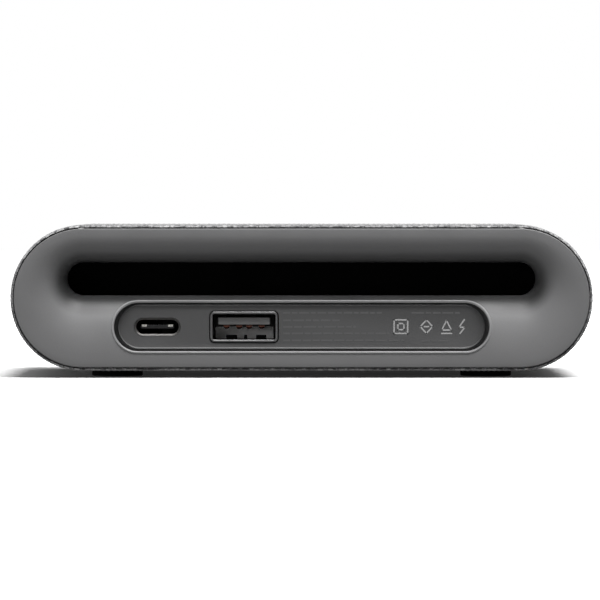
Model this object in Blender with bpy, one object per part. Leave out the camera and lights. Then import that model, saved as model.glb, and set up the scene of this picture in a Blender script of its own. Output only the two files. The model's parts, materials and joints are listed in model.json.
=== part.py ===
"""A cloth-wrapped wireless charging pad with a USB-C inlet and a USB-A outlet in its rear end.

The body is a pill-shaped tube that lies along Y. +X is to the right as seen from behind, -Y is the
rear end with the ports, and +Z is up. The origin is under the middle of the body, on the surface
that the feet stand on.
"""
import math

import bmesh
import bpy
from mathutils import Vector

MM = 0.001

# Driving dimensions
BODY_WIDTH = 115.9 * MM
BODY_THICKNESS = 29.0 * MM
BODY_DEPTH = 72.0 * MM
FOOT_HEIGHT = 1.4 * MM
GAP = 0.3 * MM  # clearance between pieces that touch

BODY_RADIUS = BODY_THICKNESS / 2
HALF_STRAIGHT = BODY_WIDTH / 2 - BODY_RADIUS  # half the flat stretch between the rounded sides
HALF_DEPTH = BODY_DEPTH / 2
MIDDLE = Vector((0, 0, FOOT_HEIGHT + BODY_RADIUS))

# Sleeve and shells
SLEEVE_THICKNESS = 0.4 * MM
SLEEVE_INNER = BODY_RADIUS - SLEEVE_THICKNESS
SLEEVE_END = HALF_DEPTH - 0.4 * MM
SHELL_OUTER = SLEEVE_INNER - GAP
SHELL_WALL = 1.75 * MM
SHELL_INNER = SHELL_OUTER - SHELL_WALL

# End bezels: a flat ring, then a convex roll that runs in to the slot
RIM_WIDTH = 1.3 * MM
ROLL_OUTER = SHELL_OUTER - RIM_WIDTH
ROLL_DEPTH = 6.0 * MM
SLOT_RADIUS = 3.3 * MM
SLOT_HEIGHT = 3.75 * MM  # the slot's middle above the body's
BEZEL_BACK = HALF_DEPTH - 7.5 * MM
FLANGE = 1.8 * MM
SPIGOT_RADIUS = SHELL_INNER - GAP
SHELL_END = HALF_DEPTH - FLANGE - GAP
MOULDED_WALL = 1.6 * MM
MOAT_OUTER = 9.2 * MM  # the hollow behind the roll, which keeps the moulding thin
KEEP_HALF_WIDTH = 39.5 * MM
KEEP_TOP = 0.3 * MM
LENS_KEEP_HALF_WIDTH = 6.0 * MM

# Slot liners
LINER_WALL = 1.2 * MM
LINER_LENGTH = 5.3 * MM

# Port pocket and panel
PORT_HEIGHT = -5.8 * MM  # the ports' middle above the body's
POCKET_RADIUS = 4.83 * MM
POCKET_HALF_STRAIGHT = 32.55 * MM
POCKET_FLOOR = HALF_DEPTH - 4.7 * MM
POCKET_EDGE = 0.45 * MM  # radius of the pocket's rounded edge
PANEL_RADIUS = POCKET_RADIUS - 0.42 * MM
PANEL_HALF_STRAIGHT = 32.2 * MM
PANEL_THICKNESS = 1.0 * MM
PANEL_FACE = POCKET_FLOOR + GAP + PANEL_THICKNESS
PANEL_LIP_WIDTH = 0.08 * MM
PANEL_LIP_SLOPE = 0.33 * MM
PANEL_LIP_HEIGHT = 0.3 * MM

# USB ports
PORT_CLEARANCE = 0.2 * MM
USB_C_MOUTH = PANEL_FACE - 0.45 * MM
USB_A_MOUTH = PANEL_FACE - 0.1 * MM
USB_C_ACROSS = -28.75 * MM
USB_C_HALF_STRAIGHT = 2.84 * MM
USB_C_OUTER = 1.63 * MM
USB_C_INNER = 1.28 * MM
USB_C_LENGTH = 7.3 * MM
USB_C_TONGUE_WIDTH = 6.69 * MM
USB_C_TONGUE_THICKNESS = 0.7 * MM
USB_A_ACROSS = -11.46 * MM
USB_A_INNER_WIDTH = 12.5 * MM
USB_A_INNER_HEIGHT = 5.12 * MM
USB_A_WALL = 0.5 * MM
USB_A_CORNER = 0.6 * MM
USB_A_LENGTH = 14.0 * MM
USB_A_TONGUE_WIDTH = 10.4 * MM
USB_A_TONGUE_THICKNESS = 1.45 * MM
USB_A_TONGUE_TOP = 0.68 * MM  # from the shell's ceiling down to the tongue
USB_A_CONTACT_ACROSS = (-3.5 * MM, -1.0 * MM, 1.0 * MM, 3.5 * MM)
USB_A_CONTACT_WIDTH = 1.3 * MM
USB_A_CONTACT_THICKNESS = 0.3 * MM
USB_A_CONTACT_LENGTH = 8.0 * MM
USB_A_CONTACT_SETBACK = 1.0 * MM  # from the tongue's tip
USB_A_CONTACT_BEND = 0.6 * MM  # length of each slope beside the contact's raised stretch
USB_A_CONTACT_DROP = 0.4 * MM
TONGUE_SETBACK = 0.8 * MM
INSULATOR_DEPTH = 2.2 * MM

# Main board
BOARD_TOP = -7.78 * MM
BOARD_THICKNESS = 1.6 * MM
BOARD_HALF_WIDTH = 44.0 * MM
BOARD_FRONT = 22.0 * MM
BOARD_REAR = -(BEZEL_BACK - GAP)
PARTS_LEVEL = BOARD_TOP + GAP  # underside of what sits on the board

# What the board carries: places are (x, y) and sizes (width, depth, height)
CHIP_PLACE = (8.0 * MM, -6.0 * MM)
CHIP_SIZE = (7.0 * MM, 7.0 * MM, 0.9 * MM)
INDUCTOR_PLACE = (8.0 * MM, -19.0 * MM)
INDUCTOR_SIZE = (10.0 * MM, 10.0 * MM, 4.0 * MM)
TRANSISTOR_SIZE = (5.0 * MM, 6.0 * MM, 1.1 * MM)
TRANSISTOR_START = 2.0 * MM
TRANSISTOR_PITCH = 8.0 * MM
CAPACITOR_SIZE = (5.0 * MM, 7.3 * MM, 6.0 * MM)
CAPACITOR_START = -22.0 * MM
CAPACITOR_PITCH = 9.0 * MM
CAPACITOR_ROW = 10.0 * MM

# Coil stack, down from the upper shell
COIL_TURNS = 10
COIL_INNER = 11.5 * MM
COIL_PITCH = 1.35 * MM
WIRE_RADIUS = 0.525 * MM
COIL_LEVEL = SHELL_INNER - GAP - WIRE_RADIUS
FERRITE_TOP = COIL_LEVEL - WIRE_RADIUS - GAP
FERRITE_THICKNESS = 0.7 * MM
FERRITE_HALF = 26.5 * MM
SHIELD_TOP = FERRITE_TOP - FERRITE_THICKNESS - GAP
SHIELD_THICKNESS = 0.4 * MM
SHIELD_HALF = 25.0 * MM
CARRIER_TOP = SHIELD_TOP - SHIELD_THICKNESS - GAP
CARRIER_THICKNESS = 1.5 * MM
CARRIER_HALF_WIDTH = 30.0 * MM
CARRIER_HALF_DEPTH = 22.0 * MM
CARRIER_LEG_RADIUS = 2.0 * MM
CARRIER_LEG_PLACES = [(x * 27.0 * MM, y * 18.5 * MM) for y in (-1, 1) for x in (-1, 1)]
LEAD_HOLE = 3.6 * MM
LEAD_BEND = 1.5 * MM  # drop of a lead where it turns down
LEAD_SAG = 4.0 * MM  # below the tray's top, where a lead turns towards the board
LEAD_RISE = 2.0 * MM  # above the board, where a lead straightens out
SENSOR_PLACE = (-4.0 * MM, 4.0 * MM)
SENSOR_RADIUS = 1.2 * MM

# Screws and feet share their places
CORNER_PLACES = [(x * 37.1 * MM, y * 19.0 * MM) for y in (-1, 1) for x in (-1, 1)]
FOOT_RADIUS = 5.1 * MM
FOOT_CHAMFER = 0.35 * MM
BOSS_RADIUS = 3.2 * MM
BOSS_MEETING = -10.0 * MM  # height at which the two shells' bosses meet
SCREW_HEAD_RADIUS = 2.5 * MM
SCREW_HEAD_HEIGHT = 1.4 * MM
SCREW_RADIUS = 1.3 * MM
SCREW_TIP = -1.0 * MM
SCREW_SUNK = 0.25 * MM
SCREW_CHAMFER = 0.3 * MM

# Status light in the front bezel
LENS_HALF_STRAIGHT = 2.2 * MM
LENS_RADIUS = 0.8 * MM
LENS_FACE = 34.9 * MM
LED_BOARD_FACE = BEZEL_BACK - 1.8 * MM
LED_BOARD_THICKNESS = 1.0 * MM
LED_BOARD_HALF_WIDTH = 9.0 * MM
LED_BOARD_BOTTOM = -9.5 * MM
LED_BOARD_TOP = -1.4 * MM
LED_HALF_WIDTH = 1.6 * MM
LED_HALF_HEIGHT = 0.8 * MM
CABLE_LEVEL = -5.3 * MM
CABLE_THICKNESS = 0.25 * MM
CABLE_HALF_WIDTH = 2.5 * MM
CABLE_STRAIGHT = 4.0 * MM
CABLE_OVERLAP = 5.0 * MM  # how far the cable runs in over the main board

ARC_STEPS = 20  # facets round half of the body's outline
SMALL_ARC_STEPS = 8
PANEL_STEPS = 16
ROLL_STEPS = 6
ROUND_STEPS = 24
SCREW_STEPS = 16
SMALL_ROUND_STEPS = 12
COIL_STEPS = 18  # straight stretches in one turn of the winding
CORNER_STEPS = 3
SHARP_ANGLE = math.radians(32)  # edges that turn further than this stay sharp

# name: (colour, roughness, metallic)
MATERIALS = {
    "case_plastic": ((0.165, 0.165, 0.167), 0.5, 0.0),
    "panel_plastic": ((0.10, 0.10, 0.10), 0.55, 0.0),
    "liner_plastic": ((0.006, 0.006, 0.006), 0.8, 0.0),
    "shell_plastic": ((0.03, 0.03, 0.03), 0.6, 0.0),
    "sleeve_cloth": ((0.32, 0.32, 0.33), 0.95, 0.0),
    "port_steel": ((0.60, 0.60, 0.61), 0.3, 1.0),
    "port_plastic": ((0.02, 0.02, 0.02), 0.5, 0.0),
    "contact_gold": ((0.85, 0.60, 0.30), 0.3, 1.0),
    "board_laminate": ((0.02, 0.12, 0.06), 0.5, 0.0),
    "coil_copper": ((0.72, 0.33, 0.16), 0.35, 1.0),
    "ferrite": ((0.05, 0.05, 0.055), 0.6, 0.0),
    "shield_aluminium": ((0.75, 0.75, 0.76), 0.35, 1.0),
    "chip_plastic": ((0.02, 0.02, 0.022), 0.45, 0.0),
    "capacitor_plastic": ((0.45, 0.12, 0.05), 0.4, 0.0),
    "screw_steel": ((0.50, 0.50, 0.50), 0.3, 1.0),
    "foot_rubber": ((0.012, 0.012, 0.012), 0.85, 0.0),
    "lens_plastic": ((0.80, 0.80, 0.80), 0.2, 0.0),
    "cable_plastic": ((0.60, 0.50, 0.20), 0.5, 0.0),
}


# Outlines and skins

def arc(radius, start, end, steps):
    """Points (x, z) on a circle about the origin, from the start angle to the end angle."""
    angles = [start + (end - start) * step / steps for step in range(steps + 1)]
    return [(radius * math.cos(angle), radius * math.sin(angle)) for angle in angles]


def pill(radius, half_straight, across=0.0, height=0.0, steps=ARC_STEPS):
    """Points (x, z) round a pill, anticlockwise as seen from the rear."""
    right = arc(radius, -math.pi / 2, math.pi / 2, steps)
    left = arc(radius, math.pi / 2, 3 * math.pi / 2, steps)
    points = [(x + half_straight, z) for x, z in right] + [(x - half_straight, z) for x, z in left]
    return [(x + across, z + height) for x, z in points]


def rounded_box(half_width, half_height, corner, across=0.0, height=0.0):
    """Points (x, z) round a rectangle with rounded corners."""
    points = []
    for quarter, (side, rise) in enumerate(((1, 1), (-1, 1), (-1, -1), (1, -1))):
        centre_x = across + side * (half_width - corner)
        centre_z = height + rise * (half_height - corner)
        turn = quarter * math.pi / 2
        for x, z in arc(corner, turn, turn + math.pi / 2, CORNER_STEPS):
            points.append((x + centre_x, z + centre_z))
    return points


def at_depth(outline, y):
    """The outline in the plane at y, placed about the body's middle."""
    return [Vector((x, y, z)) + MIDDLE for x, z in outline]


def ring_at_height(radius, z, place=(0.0, 0.0), steps=ROUND_STEPS):
    """A level circle of points, z above the body's middle."""
    angles = [2 * math.pi * step / steps for step in range(steps)]
    x, y = place
    return [Vector((x + radius * math.cos(a), y + radius * math.sin(a), z)) + MIDDLE for a in angles]


def skin(rings, closed=False):
    """A surface through rings of points, joined end to end when closed and capped when not."""
    bm = bmesh.new()
    loops = [[bm.verts.new(point) for point in ring] for ring in rings]
    pairs = list(zip(loops, loops[1:]))
    if closed:
        pairs.append((loops[-1], loops[0]))
    else:
        bm.faces.new(loops[0])
        bm.faces.new(loops[-1])
    for near, far in pairs:
        for here, there in zip(range(-1, len(near) - 1), range(len(near))):
            bm.faces.new((near[here], near[there], far[there], far[here]))
    bmesh.ops.recalc_face_normals(bm, faces=bm.faces)
    return bm


# Objects

def material(name):
    """The named material, made the first time it is asked for."""
    found = bpy.data.materials.get(name)
    if found:
        return found
    colour, roughness, metallic = MATERIALS[name]
    made = bpy.data.materials.new(name)
    made.use_nodes = True
    shader = made.node_tree.nodes["Principled BSDF"]
    shader.inputs["Base Color"].default_value = (*colour, 1.0)
    shader.inputs["Roughness"].default_value = roughness
    shader.inputs["Metallic"].default_value = metallic
    made.diffuse_color = (*colour, 1.0)
    return made


def piece(name, material_name, bm):
    """An object with the given skin; a cutting tool has no material."""
    mesh = bpy.data.meshes.new(name)
    bm.to_mesh(mesh)
    bm.free()
    made = bpy.data.objects.new(name, mesh)
    bpy.context.scene.collection.objects.link(made)
    if material_name:
        mesh.materials.append(material(material_name))
    return smooth(made)


def smooth(thing):
    """Shades the round stretches smooth and leaves the corners sharp."""
    thing.data.shade_smooth()
    thing.data.set_sharp_from_angle(angle=SHARP_ANGLE)
    return thing


def combine(target, tool, operation):
    """Cuts the tool out of the target, or joins it on, and removes the tool."""
    change = target.modifiers.new("change", "BOOLEAN")
    change.operation = operation
    change.object = tool
    change.solver = "EXACT"
    bpy.context.view_layer.update()
    before = target.data
    shaped = target.evaluated_get(bpy.context.evaluated_depsgraph_get())
    target.data = bpy.data.meshes.new_from_object(shaped)
    target.modifiers.clear()
    bpy.data.meshes.remove(before)
    bpy.data.objects.remove(tool)
    return smooth(target)


def prism(name, material_name, outline, near, far):
    """The outline run along Y from near to far."""
    return piece(name, material_name, skin([at_depth(outline, near), at_depth(outline, far)]))


def turned(name, material_name, profile, place=(0.0, 0.0), steps=ROUND_STEPS):
    """A turned piece on an upright axis, from a profile of (radius, z) pairs."""
    rings = [ring_at_height(radius, z, place, steps) for radius, z in profile]
    return piece(name, material_name, skin(rings))


def block(name, material_name, low, high):
    """A box between two corners, given about the body's middle."""
    outline = [(low[0], low[2]), (high[0], low[2]), (high[0], high[2]), (low[0], high[2])]
    return prism(name, material_name, outline, low[1], high[1])


def side_profile(name, material_name, profile, half_width, across):
    """A profile of (y, z) pairs run along X, half_width to each side of across."""
    ends = [[Vector((across + side * half_width, y, z)) + MIDDLE for y, z in profile] for side in (-1, 1)]
    return piece(name, material_name, skin(ends))


def wire(name, material_name, points, radius, sides_per_quarter=2):
    """A round wire with closed ends through the points."""
    curve = bpy.data.curves.new(name, "CURVE")
    curve.dimensions = "3D"
    curve.bevel_depth = radius
    curve.bevel_resolution = sides_per_quarter - 1
    curve.use_fill_caps = True
    line = curve.splines.new("POLY")
    line.points.add(len(points) - 1)
    for spot, point in zip(line.points, points):
        spot.co = (*(Vector(point) + MIDDLE), 1.0)
    curve.materials.append(material(material_name))
    made = bpy.data.objects.new(name, curve)
    bpy.context.scene.collection.objects.link(made)
    return made


# Body

def fabric_sleeve():
    """The cloth tube round the body, with a round hole over each foot."""
    outer = pill(BODY_RADIUS, HALF_STRAIGHT)
    inner = pill(SLEEVE_INNER, HALF_STRAIGHT)
    rings = [at_depth(outer, -SLEEVE_END), at_depth(outer, SLEEVE_END)]
    rings += [at_depth(inner, SLEEVE_END), at_depth(inner, -SLEEVE_END)]
    sleeve = piece("fabric_sleeve", "sleeve_cloth", skin(rings, closed=True))
    hole_radius = FOOT_RADIUS + GAP
    for place in CORNER_PLACES:
        hole = turned("hole", None, [(hole_radius, -BODY_RADIUS - GAP), (hole_radius, -SHELL_INNER)], place)
        combine(sleeve, hole, "DIFFERENCE")


def half_tube(name, upper):
    """The upper or lower half of the stiff tube inside the sleeve."""
    outline = []
    for radius in (SHELL_OUTER, SHELL_INNER):
        start = math.asin(GAP / 2 / radius)  # leaves a gap between the halves
        right = [(x + HALF_STRAIGHT, z) for x, z in arc(radius, start, math.pi / 2, ARC_STEPS // 2)]
        left = [(-x, z) for x, z in reversed(right)]
        half = right + left
        outline += half if radius == SHELL_OUTER else half[::-1]
    if not upper:
        outline = [(x, -z) for x, z in outline]
    return prism(name, "shell_plastic", outline, -SHELL_END, SHELL_END)


def upper_shell():
    """The upper half tube, with a blind boss for each screw."""
    shell = half_tube("upper_shell", upper=True)
    boss_top = SHELL_INNER + SHELL_WALL / 2
    hole_radius = SCREW_RADIUS + GAP
    for place in CORNER_PLACES:
        boss = turned("boss", None, [(BOSS_RADIUS, BOSS_MEETING + GAP), (BOSS_RADIUS, boss_top)], place)
        combine(shell, boss, "UNION")
        ends = [(hole_radius, BOSS_MEETING - GAP), (hole_radius, SCREW_TIP + 2 * GAP)]
        combine(shell, turned("hole", None, ends, place), "DIFFERENCE")


def lower_shell():
    """The lower half tube, with a sunk seat for each screw's head."""
    shell = half_tube("lower_shell", upper=False)
    seat_top = -SHELL_OUTER + SCREW_SUNK + SCREW_HEAD_HEIGHT + GAP
    boss_bottom = -SHELL_INNER - SHELL_WALL / 2
    shaft_hole = SCREW_RADIUS + GAP
    head_hole = SCREW_HEAD_RADIUS + GAP
    for place in CORNER_PLACES:
        boss = turned("boss", None, [(BOSS_RADIUS, boss_bottom), (BOSS_RADIUS, BOSS_MEETING)], place)
        combine(shell, boss, "UNION")
        head = [(head_hole, -BODY_RADIUS), (head_hole, seat_top)]
        shaft = [(shaft_hole, seat_top), (shaft_hole, SCREW_TIP)]
        combine(shell, turned("seat", None, head + shaft, place), "DIFFERENCE")


# End bezels. Depths are measured outward from the body's middle, and end is -1 at the rear, 1 in front.

def roll_shape(radius):
    """(height, depth) of the roll where its outline has this radius."""
    inward = (ROLL_OUTER - radius) / (ROLL_OUTER - SLOT_RADIUS)
    return SLOT_HEIGHT * inward, HALF_DEPTH - ROLL_DEPTH * (1 - math.sqrt(1 - inward * inward))


def roll_depth_below_slot(z):
    """Depth of the roll's surface under the slot's straight stretch, z above the body's middle."""
    slope = SLOT_HEIGHT / (ROLL_OUTER - SLOT_RADIUS)
    radius = (slope * ROLL_OUTER - z) / (1 + slope)
    return roll_shape(min(max(radius, SLOT_RADIUS), ROLL_OUTER))[1]


def bezel_station(radius, height, depth, end):
    return at_depth(pill(radius, HALF_STRAIGHT, height=height), end * depth)


def bezel_blank(name, end):
    """The whole moulding without its pocket and hollows."""
    stations = [(SHELL_OUTER, 0.0, HALF_DEPTH)]
    for step in range(ROLL_STEPS + 1):
        radius = ROLL_OUTER - (ROLL_OUTER - SLOT_RADIUS) * math.sin(math.pi / 2 * step / ROLL_STEPS)
        stations.append((radius, *roll_shape(radius)))
    stations.append((SLOT_RADIUS, SLOT_HEIGHT, BEZEL_BACK))
    stations.append((SPIGOT_RADIUS, 0.0, BEZEL_BACK))
    stations.append((SPIGOT_RADIUS, 0.0, HALF_DEPTH - FLANGE))
    stations.append((SHELL_OUTER, 0.0, HALF_DEPTH - FLANGE))
    rings = [bezel_station(*station, end) for station in stations]
    return piece(name, "case_plastic", skin(rings, closed=True))


def moat(end, keep_half_width):
    """A cutter for the hollow behind the roll, which leaves the middle of the lower lip solid."""
    inner = SLOT_RADIUS + MOULDED_WALL
    centre_depth = HALF_DEPTH - ROLL_DEPTH
    across = ROLL_OUTER - inner
    along = ROLL_DEPTH - MOULDED_WALL
    past_back = BEZEL_BACK - GAP
    stations = [(MOAT_OUTER, 0.0, past_back)]
    steps = ROLL_STEPS // 2
    for step in range(steps + 1):
        radius = MOAT_OUTER + (inner - MOAT_OUTER) * step / steps
        share = (ROLL_OUTER - radius) / across
        depth = centre_depth + along * math.sqrt(max(0.0, 1 - share * share))
        stations.append((radius, roll_shape(radius)[0], depth))
    stations.append((inner, SLOT_HEIGHT, past_back))
    rings = [bezel_station(*station, end) for station in stations]
    cutter = piece("moat", None, skin(rings, closed=True))
    near, far = sorted((end * HALF_DEPTH, end * (past_back - GAP)))
    keep = block("keep", None, (-keep_half_width, near, -SHELL_OUTER), (keep_half_width, far, KEEP_TOP))
    return combine(cutter, keep, "DIFFERENCE")


def pocket_edge_cutter():
    """A cutter that rounds the edge where the port pocket meets the roll."""
    rings = []
    steps = 3
    above = 1.0 * MM  # clear of the surface
    outline = pill(POCKET_RADIUS, POCKET_HALF_STRAIGHT, steps=SMALL_ARC_STEPS)
    for x, z in outline:
        centre = max(-POCKET_HALF_STRAIGHT, min(POCKET_HALF_STRAIGHT, x))
        out = Vector((x - centre, z)).normalized()
        surface = roll_depth_below_slot(z + out.y * POCKET_EDGE + PORT_HEIGHT)
        middle = surface - POCKET_EDGE
        section = [(-GAP, middle)]
        for step in range(steps + 1):
            turn = math.pi / 2 * step / steps
            section.append((POCKET_EDGE * (1 - math.cos(turn)), middle + POCKET_EDGE * math.sin(turn)))
        section += [(POCKET_EDGE, surface + above), (-GAP, surface + above)]
        ring = []
        for offset, depth in section:
            ring.append(Vector((x + out.x * offset, -depth, z + out.y * offset + PORT_HEIGHT)) + MIDDLE)
        rings.append(ring)
    return piece("edge", None, skin(rings, closed=True))


def rear_bezel():
    """The rear moulding, with the port pocket and the ports' holes in its lower lip."""
    bezel = bezel_blank("rear_bezel", -1)
    combine(bezel, moat(-1, KEEP_HALF_WIDTH), "DIFFERENCE")
    outline = pill(POCKET_RADIUS, POCKET_HALF_STRAIGHT, height=PORT_HEIGHT, steps=SMALL_ARC_STEPS)
    combine(bezel, prism("pocket", None, outline, -HALF_DEPTH - GAP, -POCKET_FLOOR), "DIFFERENCE")
    combine(bezel, pocket_edge_cutter(), "DIFFERENCE")
    for outline in (usb_c_outline(PORT_CLEARANCE), usb_a_outline(PORT_CLEARANCE)):
        combine(bezel, prism("port", None, outline, -HALF_DEPTH, -BEZEL_BACK + GAP), "DIFFERENCE")


def front_bezel():
    """The front moulding, with a window for the status light in its lower lip."""
    bezel = bezel_blank("front_bezel", 1)
    combine(bezel, moat(1, LENS_KEEP_HALF_WIDTH), "DIFFERENCE")
    radius = LENS_RADIUS + PORT_CLEARANCE
    window = pill(radius, LENS_HALF_STRAIGHT, height=PORT_HEIGHT, steps=SMALL_ARC_STEPS)
    combine(bezel, prism("window", None, window, BEZEL_BACK - GAP, HALF_DEPTH + GAP), "DIFFERENCE")


def slot_liner(name, end):
    """The closed cup behind a bezel's slot."""
    mouth = BEZEL_BACK - GAP
    back = mouth - LINER_LENGTH
    stations = [
        (SLOT_RADIUS, SLOT_HEIGHT, back + LINER_WALL),
        (SLOT_RADIUS, SLOT_HEIGHT, mouth),
        (SLOT_RADIUS + LINER_WALL, SLOT_HEIGHT, mouth),
        (SLOT_RADIUS + LINER_WALL, SLOT_HEIGHT, back),
    ]
    piece(name, "liner_plastic", skin([bezel_station(*station, end) for station in stations]))


# Ports

def usb_c_outline(extra=0.0, radius=USB_C_OUTER):
    return pill(radius + extra, USB_C_HALF_STRAIGHT, USB_C_ACROSS, PORT_HEIGHT, SMALL_ARC_STEPS)


def usb_a_outline(extra=0.0):
    """Round the USB-A shell, larger by extra on every side."""
    half_width = USB_A_INNER_WIDTH / 2 + USB_A_WALL + extra
    half_height = USB_A_INNER_HEIGHT / 2 + USB_A_WALL + extra
    return rounded_box(half_width, half_height, USB_A_CORNER + extra, USB_A_ACROSS, PORT_HEIGHT)


def port_panel():
    """The pill-shaped insert round the ports, with a low lip that slopes down to its face."""
    rings = []
    face = PANEL_FACE - PANEL_LIP_HEIGHT
    for inset, depth in (
        (0.0, PANEL_FACE - PANEL_THICKNESS),
        (0.0, PANEL_FACE),
        (PANEL_LIP_WIDTH, PANEL_FACE),
        (PANEL_LIP_WIDTH + PANEL_LIP_SLOPE, face),
    ):
        outline = pill(PANEL_RADIUS - inset, PANEL_HALF_STRAIGHT, height=PORT_HEIGHT, steps=PANEL_STEPS)
        rings.append(at_depth(outline, -depth))
    panel = piece("port_panel", "panel_plastic", skin(rings))
    for outline in (usb_c_outline(PORT_CLEARANCE), usb_a_outline(PORT_CLEARANCE)):
        combine(panel, prism("port", None, outline, -HALF_DEPTH, -POCKET_FLOOR + GAP), "DIFFERENCE")


def open_tube(name, outer, inner, mouth, length):
    """A metal port shell, open at both ends, that runs forward from its mouth."""
    rings = [at_depth(outer, mouth), at_depth(outer, mouth + length)]
    rings += [at_depth(inner, mouth + length), at_depth(inner, mouth)]
    piece(name, "port_steel", skin(rings, closed=True))


def tongue(name, across, width, top, thickness, block_top, block_bottom, mouth, shell_length):
    """A port's tongue with the moulded block that holds it at the back of the shell."""
    tip = mouth + TONGUE_SETBACK
    block_back = mouth + shell_length - GAP
    block_face = block_back - INSULATOR_DEPTH
    profile = [
        (tip, top),
        (tip, top - thickness),
        (block_face, top - thickness),
        (block_face, block_bottom),
        (block_back, block_bottom),
        (block_back, block_top),
        (block_face, block_top),
        (block_face, top),
    ]
    side_profile(name, "port_plastic", profile, width / 2, across)


def usb_c_port():
    """The USB-C inlet's shell and tongue."""
    mouth = -USB_C_MOUTH
    open_tube("usb_c_shell", usb_c_outline(), usb_c_outline(radius=USB_C_INNER), mouth, USB_C_LENGTH)
    top = PORT_HEIGHT + USB_C_TONGUE_THICKNESS / 2
    reach = USB_C_INNER - GAP
    width = USB_C_TONGUE_WIDTH
    heights = (PORT_HEIGHT + reach, PORT_HEIGHT - reach)
    tongue("usb_c_tongue", USB_C_ACROSS, width, top, USB_C_TONGUE_THICKNESS, *heights, mouth, USB_C_LENGTH)


def usb_a_port():
    """The USB-A outlet's shell, its tongue and the four contacts under the tongue."""
    half_width = USB_A_INNER_WIDTH / 2
    half_height = USB_A_INNER_HEIGHT / 2
    inner = rounded_box(half_width, half_height, USB_A_CORNER / 2, USB_A_ACROSS, PORT_HEIGHT)
    mouth = -USB_A_MOUTH
    open_tube("usb_a_shell", usb_a_outline(), inner, mouth, USB_A_LENGTH)
    top = PORT_HEIGHT + half_height - USB_A_TONGUE_TOP
    reach = half_height - GAP
    width = USB_A_TONGUE_WIDTH
    heights = (PORT_HEIGHT + reach, PORT_HEIGHT - reach)
    tongue("usb_a_tongue", USB_A_ACROSS, width, top, USB_A_TONGUE_THICKNESS, *heights, mouth, USB_A_LENGTH)
    contact_top = top - USB_A_TONGUE_THICKNESS - PORT_CLEARANCE
    near = mouth + TONGUE_SETBACK + USB_A_CONTACT_SETBACK
    bend = USB_A_CONTACT_BEND
    upper = [
        (near, contact_top),
        (near + bend, contact_top - USB_A_CONTACT_DROP),
        (near + 2 * bend, contact_top - USB_A_CONTACT_DROP),
        (near + 3 * bend, contact_top),
        (near + USB_A_CONTACT_LENGTH, contact_top),
    ]
    lower = [(y, z - USB_A_CONTACT_THICKNESS) for y, z in reversed(upper)]
    for number, offset in enumerate(USB_A_CONTACT_ACROSS, 1):
        strip = (upper + lower, USB_A_CONTACT_WIDTH / 2, USB_A_ACROSS + offset)
        side_profile(f"usb_a_contact_{number}", "contact_gold", *strip)


# Board and what it carries

def main_board():
    """The circuit board, with a notch for the USB-A shell and a hole round each screw boss."""
    low = (-BOARD_HALF_WIDTH, BOARD_REAR, BOARD_TOP - BOARD_THICKNESS)
    high = (BOARD_HALF_WIDTH, BOARD_FRONT, BOARD_TOP)
    board = block("main_board", "board_laminate", low, high)
    half_notch = USB_A_INNER_WIDTH / 2 + USB_A_WALL + GAP
    notch_back = -USB_A_MOUTH + USB_A_LENGTH + GAP
    notch_low = (USB_A_ACROSS - half_notch, BOARD_REAR - GAP, low[2] - GAP)
    notch_high = (USB_A_ACROSS + half_notch, notch_back, BOARD_TOP + GAP)
    combine(board, block("notch", None, notch_low, notch_high), "DIFFERENCE")
    for place in CORNER_PLACES:
        hole_radius = BOSS_RADIUS + GAP
        hole = turned("hole", None, [(hole_radius, low[2] - GAP), (hole_radius, BOARD_TOP + GAP)], place)
        combine(board, hole, "DIFFERENCE")


def on_board(name, material_name, centre, size):
    """A box-shaped part that stands on the board; size is (width, depth, height)."""
    x, y = centre
    width, depth, height = size
    low = (x - width / 2, y - depth / 2, PARTS_LEVEL)
    block(name, material_name, low, (x + width / 2, y + depth / 2, PARTS_LEVEL + height))


def board_parts():
    """The control chip, the inductor, the transistors and the film capacitors."""
    on_board("controller_chip", "chip_plastic", CHIP_PLACE, CHIP_SIZE)
    on_board("power_inductor", "chip_plastic", INDUCTOR_PLACE, INDUCTOR_SIZE)
    for number in (1, 2):
        spot = (CHIP_PLACE[0] + TRANSISTOR_START + TRANSISTOR_PITCH * number, CHIP_PLACE[1])
        on_board(f"power_transistor_{number}", "chip_plastic", spot, TRANSISTOR_SIZE)
    for number in range(1, 5):
        spot = (CAPACITOR_START + CAPACITOR_PITCH * number, CAPACITOR_ROW)
        on_board(f"resonant_capacitor_{number}", "capacitor_plastic", spot, CAPACITOR_SIZE)


# Coil stack

def charging_coil():
    """The flat spiral winding under the upper shell."""
    points = []
    for step in range(COIL_TURNS * COIL_STEPS + 1):
        angle = 2 * math.pi * step / COIL_STEPS
        radius = COIL_INNER + COIL_PITCH * step / COIL_STEPS
        points.append((radius * math.cos(angle), radius * math.sin(angle), COIL_LEVEL))
    wire("charging_coil", "coil_copper", points, WIRE_RADIUS, sides_per_quarter=1)


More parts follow.
